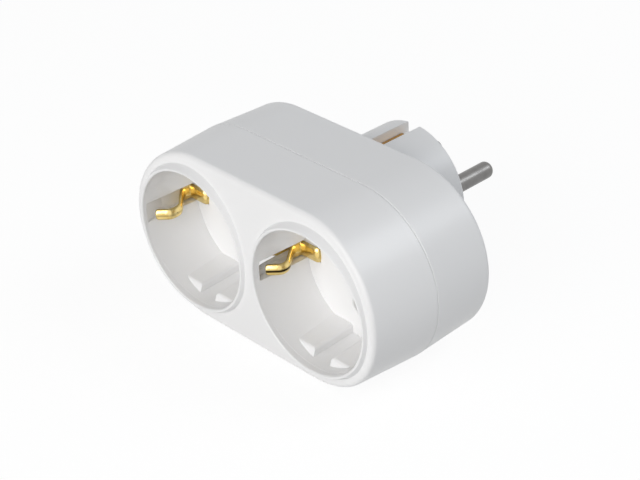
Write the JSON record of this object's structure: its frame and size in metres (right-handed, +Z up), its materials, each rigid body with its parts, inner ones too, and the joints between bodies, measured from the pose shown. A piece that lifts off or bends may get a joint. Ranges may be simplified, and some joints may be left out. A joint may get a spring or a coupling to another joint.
{
  "type": "multi socket adapter",
  "caption": "White plastic mains adapter: earthed round sockets side by side in a racetrack body, with a round earthed plug behind.",
  "frame": {"origin": "centre of the plug's end face, between its two pins", "axes": "+Y out of the plug along its pins, +X along the row of sockets, +Z up"},
  "size_m": [0.094, 0.081, 0.0494],
  "materials": {
    "white_plastic": "smooth white",
    "plated_pin": "nickel plated",
    "bright_brass": "polished",
    "brass_sheet": "plain rolled sheet",
    "screw_steel": "zinc plated"
  },
  "bodies": {
    "root": {"front_cover": "white_plastic", "socket_base": "white_plastic", "rear_housing": "white_plastic", "line_pin": "plated_pin", "neutral_pin": "plated_pin", "left_outer_earth_clip": "bright_brass", "left_inner_earth_clip": "bright_brass", "right_outer_earth_clip": "bright_brass", "right_inner_earth_clip": "bright_brass", "upper_plug_earth_contact": "bright_brass", "lower_plug_earth_contact": "bright_brass", "line_busbar": "brass_sheet", "neutral_busbar": "brass_sheet", "left_line_receptacle": "brass_sheet", "left_neutral_receptacle": "brass_sheet", "right_line_receptacle": "brass_sheet", "right_neutral_receptacle": "brass_sheet", "earth_rail": "brass_sheet", "contact_rivets": "brass_sheet", "housing_screws": "screw_steel"}
  },
  "joints": []
}
